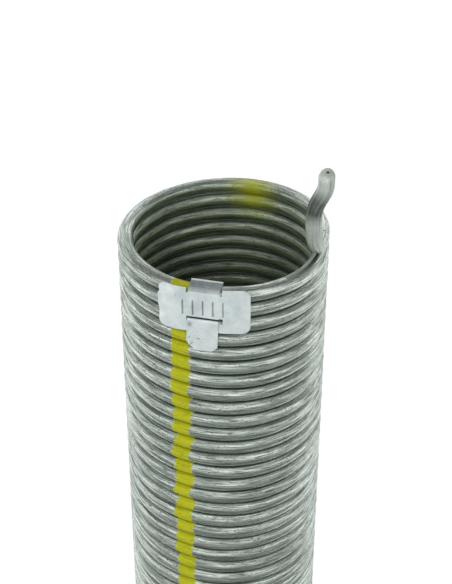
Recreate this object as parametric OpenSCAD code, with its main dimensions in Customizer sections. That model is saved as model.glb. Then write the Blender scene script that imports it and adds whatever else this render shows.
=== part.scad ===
// Torsion spring of a sectional garage door.
// One length of wire is wound into a close coil, and its upper end is turned up into a tang.
// A sheet tag is threaded between the first turns and folded over.
// The coil stands along Z. The origin is on its axis, at the level of its lowest point.

/* [Coil] */
// Diameter of the drawn spring wire
wire_d = 5.94; // [4:0.01:8]
// Bore of the coil, which slides over the end plug
bore_d = 67; // [50:0.5:96]
// Gap between neighbouring turns
turn_gap = 0.3; // [0.3:0.05:1]
// Number of full turns, wound left-handed
turns = 92; // [20:1:100]

/* [Tang] */
// Direction in which the last turn ends: degrees from +X, clockwise as seen from above
tang_az = 17; // [0:1:45]
// Centreline radius of the tight bend that lifts the wire off the coil
lift_r = 6; // [5:0.5:10]
// Angle through which that bend lifts the wire
lift_angle = 38; // [20:1:60]
// Centreline radius of the easier bend that brings the wire upright
rise_r = 20; // [10:1:30]
// Centreline radius of the lower curve of the outward jog
jog_lower_r = 17; // [8:1:30]
// Centreline radius of the upper curve of the outward jog
jog_upper_r = 10; // [5:1:20]
// Steepest lean of the jog away from the coil axis
jog_lean = 25; // [10:1:40]
// Straight length between the two curves of the jog
jog_run = 3.5; // [1:0.5:15]
// Straight length of the tip, on its long side
tip_len = 5.5; // [4:0.5:12]
// Slant of the sheared end of the tip
shear_lean = 21; // [0:1:30]

/* [Tag] */
// Thickness of the tag sheet
sheet_t = 0.25; // [0.15:0.05:0.25]
// Direction of the middle of the tag: degrees from -Y, clockwise as seen from above
tag_az = 10; // [0:1:60]
// Width of the plate, along the turns
plate_w = 33; // [26:0.5:40]
// Height of the plate, along the coil
plate_h = 18.2; // [16:0.1:22]
// Height of the plate's top edge above the middle of the first turn under it
plate_top = 3.9; // [3.5:0.1:5]
// Turn of the plate from the line of the turns
plate_turn = 2.5; // [0:0.5:4]
// Radius of the plate's corners
plate_corner = 3; // [1:0.5:5]
// Radius to which the ends of the plate are bent towards the coil
wing_r = 18; // [15:1:30]
// Angle to which the left end is beaten down on the wires
wing_left = 28; // [5:1:30]
// Angle to which the right end is bent
wing_right = 10; // [5:1:30]
// Width of the strap
strap_w = 11.3; // [8:0.1:14]
// Width of the relief cuts beside the strap
relief_w = 1; // [0.6:0.1:2]
// Width of the slot that the strap comes back through
slot_w = 12.9; // [12:0.1:18]
// Height of that slot
slot_h = 1.5; // [1:0.1:2.5]
// Length of the folded-down end of the strap
tab_len = 13; // [8:0.5:18]
// Cut corner on the left of the folded-down end
tab_cut_left = 3.2; // [0.5:0.1:4]
// Cut corner on the right of the folded-down end
tab_cut_right = 1.8; // [0.5:0.1:4]
// Inside radius of the folds
fold_r = 0.5; // [0.3:0.05:0.8]
// Clearance of the tag to the wire
tag_clear = 0.1; // [0.05:0.05:0.3]

/* [Hidden] */
$fn = 48;

wire_r = wire_d / 2;
bore_r = bore_d / 2;
pitch = wire_d + turn_gap;
// Radius of the coil at the middle of the wire
coil_r = bore_r + wire_r;
// Height of the middle of the wire where the coil ends and the tang begins
top_z = turns * pitch + wire_r;

// Each half turn is a plane arc. Its plane leans so that its ends lie half a pitch apart in height.
turn_lean = atan(pitch / 4 / coil_r);
// The lean is kept to the digits with which it is written out, and the radius follows from it.
// That way the ends of neighbouring arcs meet exactly.
digits = 6;
function rounded(x) = let (unit = pow(10, digits - 1 - floor(log(x)))) round(x * unit) / unit;
lean_sin = rounded(sin(turn_lean));
lean_cos = rounded(cos(turn_lean));
lean_size = norm([lean_sin, lean_cos]);
arc_r = pitch / 4 / lean_sin * lean_size * 3 / (1 + 2 * lean_size);
// Distance between the planes of neighbouring turns
turn_step = pitch * cos(turn_lean);

// The tag's own frame: X points out from the coil axis and Y runs along the turns.
// Z is zero in the plane of the first front half turn.
out_x = arc_r + wire_r + tag_clear;
in_x = sqrt(bore_r * bore_r - strap_w * strap_w / 4) - 2 * tag_clear;
run_z = wire_r + tag_clear;
gap_z = -1.5 * turn_step;
tab_x = out_x + sheet_t + tag_clear;
tab_end_z = gap_z - tab_len;
plate_flat = strap_w / 2 + relief_w;
plate_mid_z = plate_top - plate_h / 2;
// Longer than any cut has to reach
reach = 3 * plate_w;

// The lengths of the tang are joined by beads a hair wider than the wire, which make them one body.
// Each length stops just as far short of the middle of its beads.
joint_gap = 0.02;
bead_r = wire_r + joint_gap;
// Angle between neighbouring points of the folds in the sheet
arc_step = 6;

// Joins two lengths of wire that meet at the origin and run along Z there.
module bead() {
  sphere(bead_r);
}

// An arc of the wire around Z, in the plane of X and Y. Its radius is set in whole tenths and a rest.
module wire_arc(r, from, to) {
  rest = r - floor(r * 10) / 10;
  rotate_extrude(angle = to - from, start = from)
    translate([r - rest, 0])
      translate([rest, 0])
        circle(wire_r);
}

// Half turn number i, counted down from the tang. Rear ones rise to the right, front ones to the left.
module half_turn(i) {
  front = i % 2 == 1;
  translate([0, 0, top_z - pitch / 4 - i * pitch / 2])
    rotate([0, front ? turn_lean : -turn_lean, 0])
      wire_arc(arc_r, front ? 180 : 0, front ? 360 : 180);
}

// Bends the wire from +Z towards +X. What follows continues from its end.
module wire_bend(r, angle) {
  short = asin(joint_gap / r);
  bead();
  translate([r, 0, 0])
    rotate([90, 0, 0])
      wire_arc(r, 180 - angle + short, 180 - short);
  translate([r * (1 - cos(angle)), 0, r * sin(angle)])
    rotate([0, angle, 0])
      children();
}

module wire_run(length) {
  bead();
  translate([0, 0, joint_gap])
    cylinder(r = wire_r, h = length - 2 * joint_gap);
  translate([0, 0, length])
    children();
}

// The tip, sheared off at a slant that faces away from the coil's last turn.
module sheared_tip() {
  bead();
  difference() {
    translate([0, 0, joint_gap])
      cylinder(r = wire_r, h = tip_len - joint_gap);
    translate([0, wire_r, tip_len])
      rotate([shear_lean, 0, 0])
        translate([-wire_d, -3 * wire_d, 0])
          cube([2 * wire_d, 4 * wire_d, 2 * wire_d]);
  }
}

// The tang leaves the last turn along it, is lifted upright, and then jogs away from the axis.
module tang() {
  translate([coil_r, 0, top_z])
    rotate([90, 0, 0])
      rotate([0, 0, 90])
        wire_bend(lift_r, lift_angle)
          wire_bend(rise_r, 90 - lift_angle)
            rotate([0, 0, -90])
              wire_bend(jog_lower_r, jog_lean)
                wire_run(jog_run)
                  rotate([0, 0, 180])
                    wire_bend(jog_upper_r, jog_lean)
                      rotate([0, 0, 180])
                        sheared_tip();
}

module spring_wire() {
  color([0.66, 0.69, 0.65])
    rotate([0, 0, -tang_az]) {
      for (i = [0 : 2 * turns - 1])
        half_turn(i);
      tang();
    }
}

function reversed(points) = [for (k = [len(points) - 1 : -1 : 0]) points[k]];

// Points along an arc.
function arc_points(centre, r, from, to) =
  let (steps = ceil(abs(to - from) / arc_step), turn = (to - from) / steps)
    [for (k = [0 : steps]) centre + r * [cos(from + k * turn), sin(from + k * turn)]];

// One face of the strap in side view: up the plate, over the first turn, down inside the bore
// past two turns, out between the second and the third, and down over the plate.
// The last fold turns the other way, so there the face that was outside is inside.
function strap_face(r, last_r, root_x, end_x) = concat(
  [[root_x, run_z - fold_r - sheet_t]],
  arc_points([out_x - fold_r, run_z - fold_r], r, 0, 90),
  arc_points([in_x + fold_r, run_z - fold_r], r, 90, 180),
  arc_points([in_x + fold_r, gap_z + sheet_t / 2 + fold_r], r, 180, 270),
  arc_points([tab_x - fold_r, gap_z - sheet_t / 2 - fold_r], last_r, 90, 0),
  [[end_x, tab_end_z]]
);

module strap_profile() {
  polygon(concat(
    strap_face(fold_r + sheet_t, fold_r, out_x + sheet_t, tab_x),
    reversed(strap_face(fold_r, fold_r + sheet_t, out_x, tab_x + sheet_t))
  ));
}

// Cuts one lower corner off the folded-down end, on the side given by the sign.
module tab_corner(side, cut) {
  translate([tab_x, side * strap_w / 2, tab_end_z])
    rotate([45, 0, 0])
      cube([2 * wire_d, cut * sqrt(2), cut * sqrt(2)], center = true);
}

module strap() {
  difference() {
    rotate([90, 0, 0])
      linear_extrude(strap_w, center = true)
        strap_profile();
    tab_corner(-1, tab_cut_left);
    tab_corner(1, tab_cut_right);
  }
}

// One face of one end of the plate from above: flat, then a curve towards the coil, then flat again.
function wing_face(side, r, angle) =
  let (curve = arc_points([out_x - wing_r, 0], r, 0, angle), tail = plate_w / 2 * [-sin(angle), cos(angle)])
    [for (p = concat(curve, [curve[len(curve) - 1] + tail])) [p.x, side * (plate_flat + p.y)]];

module plate_section() {
  polygon(concat(
    reversed(wing_face(-1, wing_r + sheet_t, wing_left)),
    wing_face(1, wing_r + sheet_t, wing_right),
    reversed(wing_face(1, wing_r, wing_right)),
    wing_face(-1, wing_r, wing_left)
  ));
}

module plate_outline() {
  square([plate_w - 2 * plate_corner, plate_h], center = true);
  square([plate_w, plate_h - 2 * plate_corner], center = true);
  for (y = [-1, 1], z = [-1, 1])
    translate([y * (plate_w / 2 - plate_corner), z * (plate_h / 2 - plate_corner)])
      circle(r = plate_corner);
}

module plate() {
  difference() {
    intersection() {
      translate([0, 0, plate_mid_z - plate_h])
        linear_extrude(2 * plate_h)
          plate_section();
      translate([0, 0, plate_mid_z])
        rotate([plate_turn, 0, 0])
          rotate([90, 0, 90])
            linear_extrude(reach)
              plate_outline();
    }
    // The top of the plate is open where the strap leaves it, with a relief cut on each side.
    translate([0, -plate_flat, run_z - fold_r])
      cube([reach, 2 * plate_flat, plate_h]);
    for (side = [-1, 1])
      translate([0, side * (plate_flat - relief_w / 2), run_z - fold_r])
        cube([2 * reach, relief_w, 2 * relief_w], center = true);
    translate([0, -slot_w / 2, gap_z - slot_h / 2])
      cube([reach, slot_w, slot_h]);
  }
}

module size_tag() {
  color([0.8, 0.83, 0.84])
    translate([0, 0, top_z - 0.75 * pitch])
      rotate([0, 0, -tang_az])
        rotate([0, turn_lean, 0])
          rotate([0, 0, tang_az - tag_az - 90]) {
            plate();
            strap();
          }
}

spring_wire();
size_tag();
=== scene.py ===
from math import atan, cos, exp, hypot, pi, radians, sin, sqrt, tan

import bmesh
import bpy
from mathutils import Matrix, Vector, noise


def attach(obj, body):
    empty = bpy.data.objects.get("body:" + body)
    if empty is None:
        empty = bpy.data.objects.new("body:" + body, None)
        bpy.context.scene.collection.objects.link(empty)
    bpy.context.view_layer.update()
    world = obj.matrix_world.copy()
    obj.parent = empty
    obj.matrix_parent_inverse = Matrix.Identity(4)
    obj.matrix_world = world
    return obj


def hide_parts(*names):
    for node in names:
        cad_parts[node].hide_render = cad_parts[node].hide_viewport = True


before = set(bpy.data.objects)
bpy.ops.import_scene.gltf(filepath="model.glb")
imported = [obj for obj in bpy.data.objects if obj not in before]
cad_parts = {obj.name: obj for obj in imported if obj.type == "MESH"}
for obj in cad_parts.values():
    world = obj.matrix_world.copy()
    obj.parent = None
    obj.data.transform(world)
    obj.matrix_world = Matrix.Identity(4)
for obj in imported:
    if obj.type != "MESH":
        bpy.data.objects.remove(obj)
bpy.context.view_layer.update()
scene = bpy.context.scene
scene.view_settings.view_transform = "Standard"

# Spring wire: one length of hard-drawn, zinc-coated spring steel, wound cold into a close left-hand coil.
# Its upper end leaves the last turn in a tight bend, rises, jogs away from the axis and is sheared off.
# All sizes are in millimetres. A tube, a hair thinner than the solid, runs through the same turns and bends.
mm = 0.001
solid_r = 2.97
wire_r = solid_r - 0.04
sides = 16
half_turn_steps = 32
pitch = 6.24
turns = 92
bore_r = 33.5
coil_r = bore_r + solid_r
top_z = turns * pitch + solid_r
lean = atan(pitch / 4 / coil_r)
arc_r = coil_r / cos(lean)
tang_az = 17
coil_end = Matrix.Rotation(radians(-tang_az), 4, "Z")
# The tang's bends: radius, angle, roll about the wire before the next one, and steps. A radius of 0 is a
# straight run, with its length in the place of the angle.
tang_bends = ((6, 38, 0, 10), (20, 52, -90, 14), (17, 25, 0, 8), (0, 3.5, 180, 3), (10, 25, 180, 8))
tip_length = 5.5
shear_lean = radians(21)
rim_r = 2.1


def half_turn(i):
    """The leaning frame of half turn i, counted down from the tang."""
    level = Matrix.Translation((0, 0, top_z - pitch / 4 - i * pitch / 2))
    return coil_end @ level @ Matrix.Rotation(lean if i % 2 else -lean, 4, "Y")


def wire_frame(place, along):
    """A frame on the wire: X up, Y towards the coil's axis and Z along the wire."""
    up = (Vector((0, 0, 1)) - along.z * along).normalized()
    axes = Matrix((up, along.cross(up), along)).transposed()
    return Matrix.Translation(place) @ axes.to_4x4()


def carry(shape, edges, move):
    """Extrudes an open edge, moves what is new, and gives its verts and edges."""
    made = bmesh.ops.extrude_edge_only(shape, edges=edges)["geom"]
    verts = [part for part in made if isinstance(part, bmesh.types.BMVert)]
    bmesh.ops.transform(shape, matrix=move, verts=verts)
    new = set(verts)
    edges = [part for part in made if isinstance(part, bmesh.types.BMEdge) and new.issuperset(part.verts)]
    return verts, edges


def draw_wire(frames):
    """A tube through the frames. Each vertex notes its place in the section and along the wire."""
    tube = bmesh.new()
    note = tube.verts.layers.float_vector.new("along_wire")
    for v in bmesh.ops.create_circle(tube, radius=wire_r, segments=sides)["verts"]:
        v[note] = v.co
    bmesh.ops.transform(tube, matrix=frames[0], verts=tube.verts)
    edges = tube.edges[:]
    for before, after in zip(frames, frames[1:]):
        verts, edges = carry(tube, edges, after @ before.inverted())
        for v in verts:
            v[note].z += (after.translation - before.translation).length
    return tube


# One turn is wound, front half first, and copied down the coil.
frames = []
for i in (1, 0):
    for k in range(half_turn_steps + i):
        angle = pi * (i + 1 - (k + 1 - i) / half_turn_steps)
        at = half_turn(i)
        ray = Vector((cos(angle), sin(angle), 0))
        frames.append(wire_frame(at @ (arc_r * ray), at.to_3x3() @ Vector((ray.y, -ray.x, 0))))
one_turn = draw_wire(frames)
note = one_turn.verts.layers.float_vector["along_wire"]
turn_length = max(v[note].z for v in one_turn.verts)
wire = bmesh.new()
for n in range(turns):
    copy = one_turn.copy()
    bmesh.ops.translate(copy, vec=(0, 0, -n * pitch), verts=copy.verts)
    for v in copy.verts:
        v[copy.verts.layers.float_vector["along_wire"]].z -= (n + 1) * turn_length
    mesh = bpy.data.meshes.new("turn")
    copy.to_mesh(mesh)
    wire.from_mesh(mesh)
    bpy.data.meshes.remove(mesh)
    copy.free()
one_turn.free()

# The tang goes on from the last turn, bend by bend, and its end is cut at the shear's slant.
at = Matrix.Translation((coil_r, 0, top_z)) @ Matrix.Rotation(pi / 2, 4, "X")
at = at @ Matrix.Rotation(pi / 2, 4, "Z")
frames = [coil_end @ at]
rolled = 0
for radius, angle, roll, steps in tang_bends:
    for k in range(steps):
        if radius:
            centre = Matrix.Translation((radius, 0, 0))
            at = at @ centre @ Matrix.Rotation(radians(angle / steps), 4, "Y") @ centre.inverted()
        else:
            at = at @ Matrix.Translation((0, 0, angle / steps))
        frames.append(coil_end @ at @ Matrix.Rotation(-rolled, 4, "Z"))
    at = at @ Matrix.Rotation(radians(roll), 4, "Z")
    rolled += radians(roll)
tip = coil_end @ at
frames.append(frames[-1] @ Matrix.Translation((0, 0, tip_length + 1)))
tang = draw_wire(frames)
cut = Matrix.Translation((0, wire_r, tip_length)) @ Matrix.Rotation(shear_lean, 4, "X")
cut = tip @ cut
bmesh.ops.bisect_plane(tang, geom=tang.verts[:] + tang.edges[:] + tang.faces[:], plane_co=cut.translation,
                       plane_no=cut.col[2].to_3d(), clear_outer=True)
mesh = bpy.data.meshes.new("tang")
tang.to_mesh(mesh)
wire.from_mesh(mesh)
bpy.data.meshes.remove(mesh)
tang.free()
# Where one length ends and the next begins, the two rings of points become one.
bmesh.ops.remove_doubles(wire, verts=wire.verts, dist=0.02)

# Both ends are closed. The shear has rolled the rim of the upper one over, and its flat face is noted.
rims = [edge for edge in wire.edges if edge.is_boundary]
bmesh.ops.edgeloop_fill(wire, edges=rims)
bmesh.ops.recalc_face_normals(wire, faces=wire.faces)
upper = [edge for edge in rims if edge.verts[0].co.z > top_z]
bmesh.ops.bevel(wire, geom=upper, affect="EDGES", offset=rim_r, segments=6, profile=0.5, material=-1)
sheared = wire.verts.layers.float.new("sheared")
for face in wire.faces:
    if len(face.verts) == sides and face.calc_center_median().z > top_z:
        for v in face.verts:
            v[sheared] = 1
wire_mesh = bpy.data.meshes.new("spring_wire_drawn")
bmesh.ops.scale(wire, vec=(mm, mm, mm), verts=wire.verts)
wire.to_mesh(wire_mesh)
wire.free()
wire_mesh.shade_smooth()
wire_mesh.set_sharp_from_angle(angle=radians(50))


def srgb(code):
    """A colour written as RRGGBB, as the linear values that a shader wants."""
    parts = [int(code[i:i + 2], 16) / 255 for i in (0, 2, 4)]
    return [c / 12.92 if c <= 0.04045 else ((c + 0.055) / 1.055) ** 2.4 for c in parts] + [1.0]


def add(tree, kind, links=(), stops=(), **settings):
    """Adds a node with its settings, with its inputs linked or set, and with the stops of a ramp."""
    node = tree.nodes.new("ShaderNode" + kind)
    for name, value in settings.items():
        setattr(node, name, value)
    for key, value in dict(links).items():
        if isinstance(value, bpy.types.Node):
            value = value.outputs[0]
        if isinstance(value, bpy.types.NodeSocket):
            tree.links.new(value, node.inputs[key])
        else:
            node.inputs[key].default_value = value
    for n, (place, value) in enumerate(stops):
        if n > 1:
            node.color_ramp.elements.new(place)
        node.color_ramp.elements[n].position = place
        node.color_ramp.elements[n].color = value if isinstance(value, list) else [value] * 3 + [1]
    return node


# Galvanised spring wire: zinc over drawn steel. It is a dull metal with a cool grey-green cast. The die has
# left fine lines along it, handling has left dark pits, and shade is painted into the grooves between the
# turns and into the bore.
galvanised = bpy.data.materials.new("galvanised spring wire")
galvanised.use_nodes = True
tree = galvanised.node_tree
tree.nodes.clear()
own = add(tree, "Attribute", attribute_name="along_wire").outputs["Vector"]
section = add(tree, "SeparateXYZ", {0: own})
place = add(tree, "TexCoord").outputs["Object"]
axes = add(tree, "SeparateXYZ", {0: place})
# Soft streaks 0.6 mm wide and a centimetre or two long.
stretched = add(tree, "Mapping", {"Vector": own, "Scale": (1.0, 1.0, 0.04)})
streak = add(tree, "TexNoise", {"Vector": stretched, "Scale": 1.6, "Detail": 5.0, "Roughness": 0.62})
tone = add(tree, "ValToRGB", {0: streak},
           ((0.36, srgb("8b968e")), (0.5, srgb("c3cec6")), (0.64, srgb("edf5ef"))))
# Die lines 0.3 mm wide, broken every centimetre or so.
stretched = add(tree, "Mapping", {"Vector": own, "Scale": (1.0, 1.0, 0.035)})
lines = add(tree, "TexNoise", {"Vector": stretched, "Scale": 3.6, "Detail": 3.0, "Roughness": 0.75})
dark_lines = add(tree, "ValToRGB", {0: lines}, ((0.37, 0.85), (0.46, 0.0)))
# Pits and specks 0.4 mm across, in loose patches.
stretched = add(tree, "Mapping", {"Vector": own, "Scale": (1.0, 1.0, 0.5)})
pits = add(tree, "TexNoise", {"Vector": stretched, "Scale": 2.4, "Detail": 2.0})
patches = add(tree, "TexNoise", {"Vector": place, "Scale": 55.0, "Detail": 1.0})
patches = add(tree, "MapRange", {0: patches, 1: 0.4, 2: 0.65, 3: 0.02, 4: -0.05})
pits = add(tree, "Math", {0: pits, 1: patches}, operation="ADD")
pits = add(tree, "ValToRGB", {0: pits}, ((0.29, 0.9), (0.345, 0.0)))
# Bending has stretched the tang's coating, which is more even and more matt.
on_tang = add(tree, "MapRange", {0: section.outputs[2], 1: 0.0, 2: 12.0, 3: 0.0, 4: 0.6})
tone = add(tree, "Mix", {0: on_tang, 6: tone.outputs[0], 7: srgb("b4beb6")}, data_type="RGBA").outputs[2]
dark_lines = add(tree, "Math", {0: dark_lines, 1: on_tang}, operation="SUBTRACT", use_clamp=True)
marks_and_groove_shade = add(tree, "Math", {0: dark_lines, 1: pits}, operation="MAXIMUM")
# Painted shade lies where a turn comes near its neighbours, just off the top and the bottom of the wire.
steep = add(tree, "Math", {0: section.outputs[0], 1: 1 / wire_r}, operation="MULTIPLY")
steep = add(tree, "Math", {0: steep}, operation="ABSOLUTE")
on_coil = add(tree, "Math", {0: section.outputs[2], 1: -turn_length * 0.9}, operation="LESS_THAN")
groove_shade = add(tree, "ValToRGB", {0: steep}, ((0.86, 0.0), (0.99, 0.8)))
groove_shade = add(tree, "Math", {0: groove_shade, 1: on_coil}, operation="MULTIPLY")
marks_and_groove_shade = add(tree, "Math", {0: marks_and_groove_shade, 1: groove_shade}, operation="MAXIMUM")
tone = add(tree, "Mix", {0: marks_and_groove_shade, 6: tone, 7: srgb("474d47")}, data_type="RGBA").outputs[2]
# The tang is painted darker, unevenly, from 20 to 36 mm along the wire.
tang_darkening = add(tree, "MapRange", {0: section.outputs[2], 1: 20.0, 2: 25.0})
tang_darkening_end = add(tree, "MapRange", {0: section.outputs[2], 1: 30.0, 2: 36.0, 3: 1.0, 4: 0.0})
tang_darkening = add(tree, "Math", {0: tang_darkening, 1: tang_darkening_end}, operation="MULTIPLY")
uneven = add(tree, "MapRange", {0: streak, 1: 0.4, 2: 0.6, 3: 1.0, 4: 0.7})
tang_darkening = add(tree, "Math", {0: tang_darkening, 1: uneven}, operation="MULTIPLY")
tone = add(tree, "Mix", {0: tang_darkening, 6: tone, 7: srgb("3a3f3a")}, data_type="RGBA").outputs[2]
# The shear has left its cut face light and matt, with a dark nick about 1 mm wide near the middle, which
# lies 41.8 mm along the wire from the coil's end.
cut_face = add(tree, "Attribute", attribute_name="sheared").outputs["Fac"]
tone = add(tree, "Mix", {0: cut_face, 6: tone, 7: srgb("b4beb8")}, data_type="RGBA").outputs[2]
nick_at = (-0.3, -0.3, 41.8)
nick = add(tree, "VectorMath", {0: own, 1: nick_at}, operation="DISTANCE").outputs["Value"]
nick = add(tree, "MapRange", {0: nick, 1: 0.4, 2: 0.9, 3: 0.9, 4: 0.0})
tone = add(tree, "Mix", {0: nick, 6: tone, 7: srgb("232623")}, data_type="RGBA").outputs[2]
# Painted shade in the bore: the inside is painted darker and olive, and is matt. The first turn has less of
# it.
# Near the mouth the upper side of each turn gets a painted light, which fades deeper down.
radius = add(tree, "Mapping", {"Vector": place, "Scale": (1.0, 1.0, 0.0)})
radius = add(tree, "VectorMath", {0: radius}, operation="LENGTH").outputs["Value"]
first = add(tree, "Math", {0: section.outputs[2], 1: -turn_length}, operation="GREATER_THAN")
radius = add(tree, "Math", {0: first, 1: 0.8 * mm, 2: radius}, operation="MULTIPLY_ADD")
# Radii where the painted shade of the bore begins and where it is full.
no_shade_r = (bore_r + 2.3) * mm
full_shade_r = (bore_r + 0.8) * mm
inside = add(tree, "MapRange", {0: radius, 1: no_shade_r, 2: full_shade_r, 3: 0.0, 4: 1.0}).outputs[0]
# A painted light on the upper side of each turn, strongest near the mouth.
lit_top = add(tree, "MapRange", {0: section.outputs[0], 1: 0.4, 2: 1.8})
deep_z = (top_z - 45) * mm
mouth_z = (top_z - 8) * mm
near_mouth = add(tree, "MapRange", {0: axes.outputs[2], 1: deep_z, 2: mouth_z, 3: 0.15, 4: 0.95})
lit_top = add(tree, "Math", {0: lit_top, 1: near_mouth}, operation="MULTIPLY")
bore_shade_tone = add(tree, "Mix", {0: lit_top, 6: srgb("8c937a"), 7: srgb("ebf0e0")}, data_type="RGBA").outputs[2]
bore_shade_tone = add(tree, "Mix", {0: 1.0, 6: tone, 7: bore_shade_tone}, data_type="RGBA", blend_type="MULTIPLY").outputs[2]
tone = add(tree, "Mix", {0: inside, 6: tone, 7: bore_shade_tone}, data_type="RGBA").outputs[2]
# A yellow colour-code stripe 7 mm wide is sprayed down the front of the coil. Each turn takes it a little to
# one side, its edges are ragged, and some of the spray has landed inside, on the far side of the mouth.
turn = add(tree, "Math", {0: section.outputs[2], 1: 1 / turn_length}, operation="MULTIPLY")
turn = add(tree, "Math", {0: turn}, operation="FLOOR")
shift = add(tree, "TexWhiteNoise", {"W": turn}, noise_dimensions="1D")
shift = add(tree, "MapRange", {0: shift, 3: -0.9, 4: 0.9})
ragged = add(tree, "TexNoise", {"Vector": own, "Scale": 0.9, "Detail": 3.0})
ragged = add(tree, "MapRange", {0: ragged, 3: -2.2, 4: 2.2})
# How far across the stripe a point lies, in mm, from its place in metres.
across_stripe = (913.5, -406.7, 0.0)
across = add(tree, "VectorMath", {0: place, 1: across_stripe}, operation="DOT_PRODUCT").outputs["Value"]
across = add(tree, "Math", {0: across, 1: shift}, operation="ADD")
across = add(tree, "Math", {0: across, 1: ragged}, operation="ADD")
across = add(tree, "Math", {0: across}, operation="ABSOLUTE")
stripe = add(tree, "MapRange", {0: across, 1: 3.3, 2: 3.9, 3: 1.0, 4: 0.0})
front = add(tree, "Math", {0: axes.outputs[1], 1: -0.020}, operation="LESS_THAN")
stripe = add(tree, "Math", {0: stripe, 1: front}, operation="MULTIPLY")
spray_at = (11.5 * mm, 32.5 * mm, (top_z - 3) * mm)
spray = add(tree, "VectorMath", {0: place, 1: spray_at}, operation="DISTANCE").outputs["Value"]
ragged = add(tree, "MapRange", {0: ragged, 1: -2.2, 2: 2.2, 3: -0.002, 4: 0.002})
spray = add(tree, "Math", {0: spray, 1: ragged}, operation="ADD")
spray = add(tree, "MapRange", {0: spray, 1: 0.002, 2: 0.013, 3: 0.95, 4: 0.0})
paint = add(tree, "Math", {0: stripe, 1: spray}, operation="MAXIMUM")
# The yellow is darker along the lines, pits and painted shade of the grooves, and takes a darker, painted
# shade in the bore.
wear_and_shade = add(tree, "Math", {0: marks_and_groove_shade, 1: 0.55}, operation="MULTIPLY")
yellow = add(tree, "Mix", {0: wear_and_shade, 6: srgb("b4b600"), 7: srgb("4a4c04")}, data_type="RGBA").outputs[2]
yellow = add(tree, "Mix", {0: inside, 6: yellow, 7: srgb("929a08")}, data_type="RGBA").outputs[2]
tone = add(tree, "Mix", {0: paint, 6: tone, 7: yellow}, data_type="RGBA").outputs[2]
# The shaded bore, paint, the cut face and the tang shine less.
dull = add(tree, "Math", {0: inside, 1: 0.42}, operation="MULTIPLY")
dull = add(tree, "Math", {0: dull, 1: paint}, operation="MAXIMUM")
dull = add(tree, "Math", {0: dull, 1: cut_face}, operation="MAXIMUM")
dull = add(tree, "Math", {0: dull, 1: on_tang}, operation="MAXIMUM")
metal = add(tree, "Math", {0: 0.92, 1: dull}, operation="SUBTRACT", use_clamp=True)
rough = add(tree, "MapRange", {0: streak, 1: 0.3, 2: 0.7, 3: 0.34, 4: 0.2})
rough = add(tree, "Math", {0: dull, 1: 0.35, 2: rough}, operation="MULTIPLY_ADD")
# The lines and pits are cut up to 0.06 mm deep.
height = add(tree, "Math", {0: streak, 1: marks_and_groove_shade}, operation="SUBTRACT")
flat = add(tree, "Math", {0: 1.0, 1: on_tang}, operation="SUBTRACT")
flat = add(tree, "Math", {0: flat, 1: cut_face}, operation="SUBTRACT", use_clamp=True)
height = add(tree, "Math", {0: height, 1: flat}, operation="MULTIPLY")
relief = add(tree, "Bump", {"Strength": 0.6, "Distance": 0.1 * mm, "Height": height})
shader = add(tree, "BsdfPrincipled",
             {"Base Color": tone, "Metallic": metal, "Roughness": rough, "Normal": relief})
add(tree, "OutputMaterial", {0: shader})

wire_piece = bpy.data.objects.new("spring_wire_drawn", wire_mesh)
scene.collection.objects.link(wire_piece)
wire_mesh.materials.append(galvanised)
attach(wire_piece, "root")
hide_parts("spring_wire")

# Size tag: one strip of zinc-plated sheet, cut, stamped and folded by hand. Its plate lies on the first
# turns, with its left end beaten down on them. Its strap goes over the top turn and down inside, comes out
# between two turns through the plate's slot, and is folded down over the plate.
sheet = 0.25
clear = 0.1
turn_step = pitch * cos(lean)
# The tag's own frame: X points out from the coil's axis, Y runs along the turns, and Z is nought in the
# plane of the first half turn at the front.
tag_at = coil_end @ Matrix.Translation((0, 0, top_z - 0.75 * pitch)) @ Matrix.Rotation(lean, 4, "Y")
tag_az = 10
tag_at = tag_at @ Matrix.Rotation(radians(tang_az - tag_az - 90), 4, "Z")
strap_half = 5.65
relief_half = 6.4
flat_half = strap_half + 1
out_x = arc_r + solid_r + clear
in_x = sqrt(bore_r ** 2 - strap_half ** 2) - 2 * clear
run_z = solid_r + clear
gap_z = -1.5 * turn_step
# The inside radius of the folds, and the wider one with which the strap leaves the plate.
fold_r = 0.5
root_r = 0.9
root_z = run_z - root_r
tab_x = out_x + sheet + clear
tab_length = 13
tab_end = gap_z - tab_length
tab_top = gap_z - sheet / 2 - fold_r
tab_cuts = ((-1, 3.2), (1, 1.8))
plate_half_w = 16.5
plate_half_h = 9.1
plate_corner = 3.0
plate_turn = radians(2.5)
plate_top = 3.9
plate_mid = plate_top - plate_half_h
wing_r = 18
wing_left = radians(28)
wing_right = radians(10)
above_all = 30
grid = 0.24
# Openings of the plate: left, right, low and high edges.
slot_box = (-5.9, 7.1, gap_z - 0.75, gap_z + 1.0)
notch_box = (strap_half, 7.1, gap_z - 0.3, gap_z + 1.4)
relief_low = root_z - 0.6
left_relief = (-relief_half, -strap_half, relief_low, above_all)
right_relief = (strap_half, relief_half, relief_low, above_all)
strap_mouth = (-relief_half, relief_half, root_z, above_all)
openings = (slot_box, notch_box, left_relief, right_relief, strap_mouth)

tag = bmesh.new()
rubbed = tag.verts.layers.float.new("rubbed")
at = Matrix.Translation((out_x, 0, plate_mid)) @ Matrix.Rotation(plate_turn, 4, "X")
at = at @ Matrix.Rotation(pi / 2, 4, "Y")
bmesh.ops.create_grid(tag, x_segments=1, y_segments=1, size=1)
bmesh.ops.scale(tag, vec=(plate_half_h, plate_half_w, 1), verts=tag.verts)
bmesh.ops.bevel(tag, geom=tag.verts[:], affect="VERTICES", offset=plate_corner, segments=8, profile=0.5,
                material=-1)
bmesh.ops.transform(tag, matrix=at, verts=tag.verts)
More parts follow.
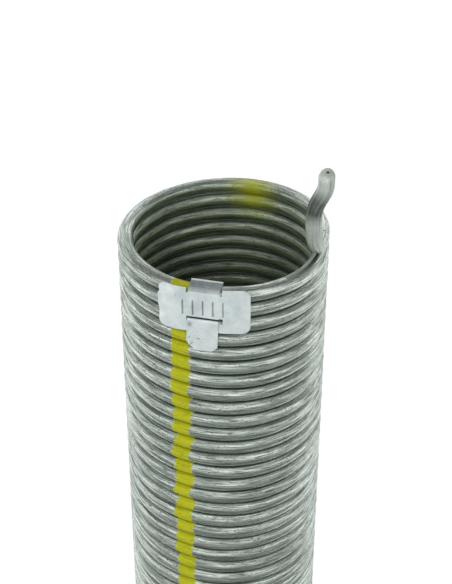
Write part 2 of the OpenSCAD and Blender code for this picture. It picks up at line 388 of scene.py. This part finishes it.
# The plate is cut into a fine grid, which also follows the edges of its openings.
along = [-16.8 + grid * k for k in range(141)] + [edge for box in openings for edge in box[:2]]
upward = [-15.4 + grid * k for k in range(86)] + [edge for box in openings for edge in box[2:]]
for levels, normal in ((along, Vector((0, 1, 0))), (upward, Vector((0, 0, 1)))):
    for level in levels:
        bmesh.ops.bisect_plane(tag, geom=tag.verts[:] + tag.edges[:] + tag.faces[:], dist=1e-5,
                               plane_co=level * normal, plane_no=normal)
holes = []
for face in tag.faces:
    middle = face.calc_center_median()
    if any(left < middle.y < right and low < middle.z < high for left, right, low, high in openings):
        holes.append(face)
bmesh.ops.delete(tag, geom=holes, context="FACES")
plate_verts = tag.verts[:]

# The strap grows from the plate's upper edge.
edges = [edge for edge in tag.edges if edge.is_boundary
         and all(abs(v.co.z - root_z) < 1e-3 and abs(v.co.y) < strap_half + 1e-3 for v in edge.verts)]


def run_on(edges, dx, dz, steps, wear_and_shade=0.0):
    """Carries the strap straight on, and paints the given shade on it."""
    for k in range(steps):
        verts, edges = carry(tag, edges, Matrix.Translation((dx / steps, 0, dz / steps)))
        for v in verts:
            v[rubbed] = wear_and_shade
    return edges


def fold(edges, x, z, angle, steps, wear_and_shade=0.0):
    """Folds the strap round a line at x and z, and paints the given shade on it."""
    centre = Matrix.Translation((x, 0, z))
    move = centre @ Matrix.Rotation(radians(angle / steps), 4, "Y") @ centre.inverted()
    for k in range(steps):
        verts, edges = carry(tag, edges, move)
        for v in verts:
            v[rubbed] = wear_and_shade
    return edges


# The last number of each step is painted shade on the strap: over its front fold and top, down inside the
# coil and where it passes between the turns.
edges = fold(edges, out_x - root_r, root_z, -90, 8, 0.7)
edges = run_on(edges, in_x + fold_r - out_x + root_r + 1, 0, 12, 1.0)
edges = run_on(edges, -1, 0, 2)
edges = fold(edges, in_x + fold_r, run_z - fold_r, -90, 6)
edges = run_on(edges, 0, gap_z + sheet / 2 + 2 * fold_r - run_z, 14, 0.5)
edges = fold(edges, in_x + fold_r, gap_z + sheet / 2 + fold_r, -90, 6, 0.5)
edges = run_on(edges, tab_x - in_x - 2 * fold_r, 0, 8, 2.0)
edges = fold(edges, tab_x - fold_r, tab_top, 90, 8)
run_on(edges, 0, tab_end - tab_top, 40)

# The folded-down end has both lower corners cut off.
known = set(plate_verts)
for side, cut in tab_cuts:
    on_tab = []
    for face in tag.faces:
        if all(v not in known and v.co.z < tab_top and v.co.x > tab_x for v in face.verts):
            on_tab.append(face)
    geom = list({part for face in on_tab for part in (face, *face.edges, *face.verts)})
    bmesh.ops.bisect_plane(tag, geom=geom, plane_co=(0, side * (strap_half - cut), tab_end),
                           plane_no=(0, side, -1), clear_outer=True)


def smooth(a, b, x):
    """A soft step from 0 at a to 1 at b."""
    t = min(max((x - a) / (b - a), 0), 1)
    return t * t * (3 - 2 * t)


# The plate's ends are bent towards the coil. The left end shows the turns under it, and its edge is
# battered. Five plain upright ribs stand where such a tag is stamped, each with a painted shadow on its
# right.
ribs = [-7.9 + 3.6 * k for k in range(5)]
rib_height = 0.17
rib_middle = 0.9
rib_half = 2.6
ripple = 0.22
waviness = 0.08
for v in plate_verts:
    y, z = v.co.y, v.co.z
    x = out_x
    over = abs(y) - flat_half
    angle = wing_left if y < 0 else wing_right
    if over > 0:
        bend = wing_r * sin(angle)
        if over < bend:
            x -= wing_r - sqrt(wing_r ** 2 - over ** 2)
        else:
            x -= wing_r * (1 - cos(angle)) + (over - bend) * tan(angle)
    free = smooth(0, 2, hypot(max(abs(y) - strap_half, 0), max(root_z - z, 0)))
    x += smooth(-8, -15, y) * ripple * cos(2 * pi * z / turn_step)
    x += free * waviness * (noise.noise(Vector((y * 0.16, z * 0.2, 3.7))) - 0.6)
    u = y * cos(plate_turn) + (z - plate_mid) * sin(plate_turn)
    w = (z - plate_mid) * cos(plate_turn) - y * sin(plate_turn)
    for rib in ribs:
        away = hypot(u - rib, max(abs(w - rib_middle) - rib_half, 0))
        x += rib_height * (1 - smooth(0.3, 0.55, away))
        # A painted shadow on the right side of each rib.
        if u > rib and abs(w - rib_middle) < rib_half + 0.5:
            v[rubbed] = max(v[rubbed], 0.9 * (1 - smooth(0.1, 0.4, abs(u - rib - 0.5))))
    edge = smooth(-13.5, -16.5, y)
    y += edge * (0.55 * exp(-((z + 0.6) / 1.1) ** 2) - 0.25 * cos(2 * pi * (z + 3.2) / 14))
    v.co = (x, y, z)
# The folded-down end stands off a little at its lower left, and has a dent near its top with painted shade
# in it.
stand_off = 0.12
dent_depth = 0.3
for v in tag.verts:
    if v in known or v.co.x < tab_x or v.co.z > tab_top:
        continue
    x, y, z = v.co
    down = smooth(0, tab_length, gap_z - z)
    x -= stand_off * down * smooth(-3, 5.6, y)
    dent = exp(-((y + 4.6) / 0.8) ** 2 - ((z - gap_z + 2.4) / 1.0) ** 2)
    x -= dent_depth * dent
    # Painted shade in the dent.
    v[rubbed] = 0.7 * dent
    x += 0.06 * (noise.noise(Vector((y * 0.3, z * 0.3, 9.1))) - 1) * down
    v.co.x = x
    v.co.z -= 0.12 * down * noise.noise(Vector((y * 0.8, 1.3, 0.2)))
# The sheet's faces are turned outwards, so that its thickness grows away from the coil.
bmesh.ops.recalc_face_normals(tag, faces=tag.faces)
probe = min(tag.faces, key=lambda face: (face.calc_center_median() - Vector((out_x, 10, -3))).length)
if probe.normal.x < 0:
    bmesh.ops.reverse_faces(tag, faces=tag.faces)
bmesh.ops.transform(tag, matrix=Matrix.Scale(mm, 4) @ tag_at, verts=tag.verts)
tag_mesh = bpy.data.meshes.new("size_tag_sheet")
tag.to_mesh(tag_mesh)
tag.free()
tag_mesh.shade_smooth()
tag_mesh.set_sharp_from_angle(angle=radians(40))

# Zinc-plated tag sheet: thin steel strip, bright plated and then handled. It is pale, cool and satin, with
# faint cloudy stains and a few specks. Shade is painted on the strap, beside the ribs and in the dent.
plated = bpy.data.materials.new("zinc plated tag sheet")
plated.use_nodes = True
tree = plated.node_tree
tree.nodes.clear()
place = add(tree, "TexCoord").outputs["Object"]
# A fine grain, stains 7 mm across, and specks that crowd low on the folded-down end.
grain = add(tree, "TexNoise", {"Vector": place, "Scale": 900.0, "Detail": 4.0})
cloud = add(tree, "TexNoise", {"Vector": place, "Scale": 150.0, "Detail": 5.0, "Roughness": 0.65})
tone = add(tree, "ValToRGB", {0: cloud},
           ((0.32, srgb("c4cfd1")), (0.5, srgb("d6e0e1")), (0.68, srgb("e4ecec"))))
specks = add(tree, "TexNoise", {"Vector": place, "Scale": 1100.0, "Detail": 2.0})
scuff_at = tag_at @ Vector((tab_x, -3.2, tab_end + 4)) * mm
scuff = add(tree, "VectorMath", {0: place, 1: scuff_at}, operation="DISTANCE").outputs["Value"]
scuff = add(tree, "MapRange", {0: scuff, 1: 0.0, 2: 0.006, 3: -0.17, 4: 0.0})
specks = add(tree, "Math", {0: specks, 1: scuff}, operation="ADD")
specks = add(tree, "ValToRGB", {0: specks}, ((0.24, 0.8), (0.28, 0.0)))
# The sheet's painted shade, made patchy, joins the specks.
sheet_shade = add(tree, "Attribute", attribute_name="rubbed").outputs["Fac"]
uneven = add(tree, "MapRange", {0: cloud, 1: 0.3, 2: 0.7, 3: 1.0, 4: 0.6})
sheet_shade = add(tree, "Math", {0: sheet_shade, 1: uneven}, operation="MULTIPLY")
wear_and_shade = add(tree, "Math", {0: specks, 1: sheet_shade}, operation="MAXIMUM")
tone = add(tree, "Mix", {0: wear_and_shade, 6: tone.outputs[0], 7: srgb("50565a")}, data_type="RGBA").outputs[2]
relief = add(tree, "Bump", {"Strength": 0.12, "Distance": 0.2 * mm, "Height": grain})
shader = add(tree, "BsdfPrincipled",
             {"Base Color": tone, "Metallic": 0.15, "Roughness": 0.5, "Normal": relief})
add(tree, "OutputMaterial", {0: shader})

tag_piece = bpy.data.objects.new("size_tag_sheet", tag_mesh)
scene.collection.objects.link(tag_piece)
tag_mesh.materials.append(plated)
thick = tag_piece.modifiers.new("thickness", "SOLIDIFY")
thick.thickness = sheet * mm
thick.offset = 1
thick.use_even_offset = True
edge = tag_piece.modifiers.new("edge", "BEVEL")
edge.width = 0.05 * mm
edge.segments = 2
edge.limit_method = "ANGLE"
edge.angle_limit = radians(50)
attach(tag_piece, "root")
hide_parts("size_tag")

# Camera: a long lens in front of the spring, looking down at the top of the coil.
camera_data = bpy.data.cameras.new("camera")
camera_data.sensor_fit = "VERTICAL"
camera_data.sensor_height = 36
camera_data.lens = 81.875
camera_data.clip_start = 0.01
camera = bpy.data.objects.new("camera", camera_data)
camera.location = (0.107 * mm, -422.2 * mm, (top_z + 252.5) * mm)
camera.rotation_euler = (radians(90 - 33.6256), 0, radians(-0.113))
scene.collection.objects.link(camera)
scene.camera = camera


def looked_at(tree):
    """One for what the camera, a mirror or glass looks at, and nought for light that falls on something."""
    path = add(tree, "LightPath")
    seen = add(tree, "Math", {0: path.outputs["Is Camera Ray"], 1: path.outputs["Is Glossy Ray"]},
               operation="MAXIMUM")
    return add(tree, "Math", {0: seen, 1: path.outputs["Is Transmission Ray"]}, operation="MAXIMUM")


# Studio light: an even pale room that looks white, and one large soft box high on the left. The wire mirrors
# the white room, and not the soft box.
room = bpy.data.worlds.new("studio room")
scene.world = room
room.use_nodes = True
tree = room.node_tree
tree.nodes.clear()
light = add(tree, "Background", {0: [0.5, 0.51, 0.5, 1]})
white = add(tree, "Background", {0: [1, 1, 1, 1]})
add(tree, "OutputWorld", {0: add(tree, "MixShader", {0: looked_at(tree), 1: light, 2: white})})
soft_box = bpy.data.lights.new("soft_box", "SUN")
soft_box.energy = 1.7
soft_box.angle = radians(80)
soft_box_stand = bpy.data.objects.new("soft_box", soft_box)
soft_box_stand.visible_glossy = False
soft_box_stand.rotation_euler = Vector((0.7, 1.1, -0.62)).to_track_quat("-Z", "Y").to_euler()
scene.collection.objects.link(soft_box_stand)


def flag(name, width, depth, place, tilt, code):
    """A flat card that only reflections see. Such flags draw the dark bands on shiny round wire."""
    bpy.ops.mesh.primitive_plane_add(size=1, location=place, rotation=(radians(tilt), 0, 0))
    card = bpy.context.object
    card.name = name
    card.scale = (width, depth, 1)
    made = bpy.data.materials.new(name)
    made.use_nodes = True
    made.node_tree.nodes.clear()
    add(made.node_tree, "OutputMaterial", {0: add(made.node_tree, "Emission", {0: srgb(code)})})
    card.data.materials.append(made)
    card.visible_camera = card.visible_diffuse = card.visible_shadow = False


flag("ceiling_flag", 4, 0.81, (0, 0.095, top_z * mm + 0.6), 0, "5c5f5a")
flag("front_flag", 3, 0.45, (0, -0.45, 0.225), 90, "858882")
flag("table_flag", 3, 0.4, (0, -0.25, 0.004), 0, "7e817c")

# Floor: a matt white board. Looked at, it is white, less the spring's soft shadow.
bpy.ops.mesh.primitive_plane_add(size=12, location=(0, 0, 0))
floor = bpy.context.object
floor.name = "floor"
made = bpy.data.materials.new("matt white studio floor")
made.use_nodes = True
tree = made.node_tree
tree.nodes.clear()
matt = add(tree, "BsdfDiffuse", {0: srgb("e8e8e8")})
half_white = [0.6, 0.6, 0.6, 1]
shaded = add(tree, "AddShader", {0: add(tree, "BsdfDiffuse", {0: half_white}),
                                 1: add(tree, "Emission", {0: half_white})})
add(tree, "OutputMaterial", {0: add(tree, "MixShader", {0: looked_at(tree), 1: matt, 2: shaded})})
floor.data.materials.append(made)
